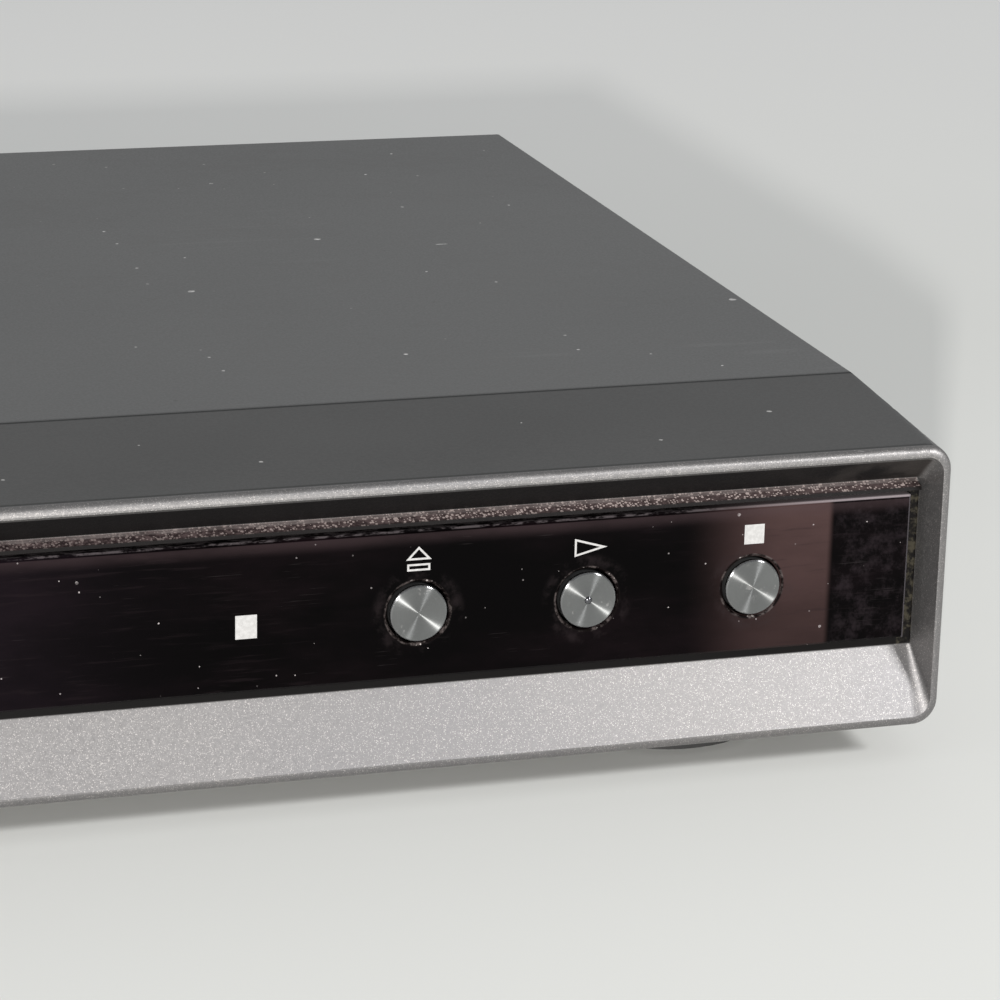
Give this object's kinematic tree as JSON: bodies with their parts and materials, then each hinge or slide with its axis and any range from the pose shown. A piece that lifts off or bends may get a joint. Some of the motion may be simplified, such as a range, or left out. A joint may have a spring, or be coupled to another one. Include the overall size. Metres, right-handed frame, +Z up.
{
  "type": "dvd player with tray",
  "caption": "Slim full-width disc player with a motorised disc tray, gloss window with round metal buttons, and a sloping chin.",
  "frame": {"origin": "on the standing surface, under the middle of the bounding box", "axes": "+X to the right seen from the front, +Y to the back, +Z up"},
  "size_m": [0.43, 0.206, 0.043],
  "materials": {
    "cover_paint": "satin baked paint",
    "zinc_steel": "plated sheet",
    "back_paint": "satin baked paint",
    "panel_paint": "metallic grey lacquer",
    "window_gloss": "high gloss",
    "foot_plastic": "moulded",
    "pad_rubber": "matt",
    "black_screw": "blackened",
    "plated_screw": "plated",
    "circuit_board": "solder mask",
    "chip_plastic": "moulded",
    "display_glass": "clear",
    "dark_lens": "polished",
    "tray_plastic": "fine spark texture",
    "frame_plastic": "moulded",
    "motor_steel": "drawn can",
    "gear_plastic": "moulded acetal",
    "belt_rubber": "matt",
    "deck_plastic": "moulded",
    "turntable_plastic": "moulded",
    "ground_shaft": "ground",
    "pinion_brass": "turned",
    "pickup_casting": "die cast",
    "lens_glass": "coated",
    "magnet_iron": "plated",
    "can_sleeve": "heat-shrink sleeve",
    "sink_aluminium": "extruded",
    "ferrite_core": "sintered",
    "jack_plastic": "moulded",
    "jack_metal": "plated",
    "ribbon_plastic": "flat laminate",
    "button_plastic": "moulded",
    "cap_metal": "spun face"
  },
  "bodies": {
    "root": {"top_cover": "cover_paint", "chassis": "zinc_steel", "rear_panel": "back_paint", "front_panel": "panel_paint", "window_left": "window_gloss", "window_right": "window_gloss", "feet": "foot_plastic", "foot_pads": "pad_rubber", "case_screws": "black_screw", "front_board": "circuit_board", "power_switch_board": "circuit_board", "main_board": "circuit_board", "power_board": "circuit_board", "button_switches": "chip_plastic", "main_board_chips": "chip_plastic", "display_tube": "display_glass", "ir_receiver": "dark_lens", "loader_frame": "frame_plastic", "clamp_bridge": "zinc_steel", "mechanism_screws": "plated_screw", "loading_motor": "motor_steel", "drive_belt": "belt_rubber", "main_board_capacitors": "can_sleeve", "filter_capacitors": "can_sleeve", "processor_heat_sink": "sink_aluminium", "power_heat_sink": "sink_aluminium", "power_transformer": "ferrite_core", "av_jack_block": "jack_plastic", "av_jack_barrels": "jack_metal", "s_video_jack": "jack_plastic", "power_inlet": "jack_plastic", "ribbon_cable": "ribbon_plastic"},
    "tray": {"tray": "tray_plastic", "tray_door": "window_gloss"},
    "loading_gear": {"loading_gear": "gear_plastic"},
    "pulley_gear": {"pulley_gear": "gear_plastic"},
    "motor_pulley": {"motor_pulley": "gear_plastic"},
    "cam_slider": {"cam_slider": "gear_plastic"},
    "deck": {"traverse_frame": "deck_plastic", "spindle_motor": "motor_steel", "guide_shafts": "ground_shaft", "sled_motor": "motor_steel"},
    "turntable": {"turntable": "turntable_plastic", "turntable_pad": "pad_rubber"},
    "sled_gear": {"sled_gear": "gear_plastic"},
    "sled_pinion": {"sled_pinion": "pinion_brass"},
    "pickup": {"pickup_body": "pickup_casting", "pickup_lens": "lens_glass"},
    "clamper": {"clamper": "gear_plastic", "clamper_magnet": "magnet_iron"},
    "eject_button": {"eject_button": "button_plastic", "eject_button_cap": "cap_metal"},
    "play_button": {"play_button": "button_plastic", "play_button_cap": "cap_metal"},
    "stop_button": {"stop_button": "button_plastic", "stop_button_cap": "cap_metal"},
    "power_button": {"power_button": "button_plastic", "power_button_cap": "cap_metal"}
  },
  "joints": [
    {"name": "tray_slide", "type": "slide", "parent": "root", "child": "tray", "axis": [0, -1, 0], "range_m": [0, 0.132]},
    {"name": "loading_gear_spin", "type": "hinge", "parent": "root", "child": "loading_gear", "pos_m": [-0.018, -0.0735, 0.0135], "axis": [0, 0, 1], "range_deg": [-946, 0]},
    {"name": "pulley_gear_spin", "type": "hinge", "parent": "root", "child": "pulley_gear", "pos_m": [-0.0412, -0.0735, 0.0185], "axis": [0, 0, 1], "range_deg": [0, 2972]},
    {"name": "motor_pulley_spin", "type": "hinge", "parent": "root", "child": "motor_pulley", "pos_m": [-0.078, -0.0795, 0.0185], "axis": [0, 0, 1], "range_deg": [0, 8920]},
    {"name": "deck_lift", "type": "hinge", "parent": "root", "child": "deck", "pos_m": [-0.062, 0.058, 0.016], "axis": [-1, 0, 0], "range_deg": [0, 4.12]},
    {"name": "cam_slide", "type": "slide", "parent": "root", "child": "cam_slider", "axis": [-1, 0, 0], "range_m": [0, 0.01301]},
    {"name": "spindle_spin", "type": "hinge", "parent": "deck", "child": "turntable", "pos_m": [-0.062, -0.03106, 0.01359], "axis": [0, -0.0719, 0.9974], "continuous": true},
    {"name": "clamper_spin", "type": "hinge", "parent": "root", "child": "clamper", "pos_m": [-0.062, -0.031, 0.03], "axis": [0, 0, 1], "continuous": true},
    {"name": "pickup_slide", "type": "slide", "parent": "deck", "child": "pickup", "axis": [0, 0.9974, 0.0719], "range_m": [0, 0.033]},
    {"name": "sled_gear_spin", "type": "hinge", "parent": "deck", "child": "sled_gear", "pos_m": [-0.033, 0.00791, 0.0154], "axis": [0, -0.0719, 0.9974], "range_deg": [-316, 0]},
    {"name": "sled_pinion_spin", "type": "hinge", "parent": "deck", "child": "sled_pinion", "pos_m": [-0.033, 0.02344, 0.01702], "axis": [0, -0.0719, 0.9974], "range_deg": [0, 1051]},
    {"name": "eject_press", "type": "slide", "parent": "root", "child": "eject_button", "axis": [0, 1, 0], "range_m": [0, 0.0006], "stiffness_N_per_m": 400},
    {"name": "play_press", "type": "slide", "parent": "root", "child": "play_button", "axis": [0, 1, 0], "range_m": [0, 0.0006], "stiffness_N_per_m": 400},
    {"name": "stop_press", "type": "slide", "parent": "root", "child": "stop_button", "axis": [0, 1, 0], "range_m": [0, 0.0006], "stiffness_N_per_m": 400},
    {"name": "power_press", "type": "slide", "parent": "root", "child": "power_button", "axis": [0, 1, 0], "range_m": [0, 0.0006], "stiffness_N_per_m": 400}
  ],
  "couplings": [
    {"joint": "loading_gear_spin", "follows": "tray_slide", "rad_per_m": -125},
    {"joint": "pulley_gear_spin", "follows": "tray_slide", "rad_per_m": 392.86},
    {"joint": "motor_pulley_spin", "follows": "tray_slide", "rad_per_m": 1178.6},
    {"joint": "cam_slide", "follows": "deck_lift", "m_per_rad": 0.18063},
    {"joint": "sled_gear_spin", "follows": "pickup_slide", "rad_per_m": -166.67},
    {"joint": "sled_pinion_spin", "follows": "pickup_slide", "rad_per_m": 555.56}
  ]
}
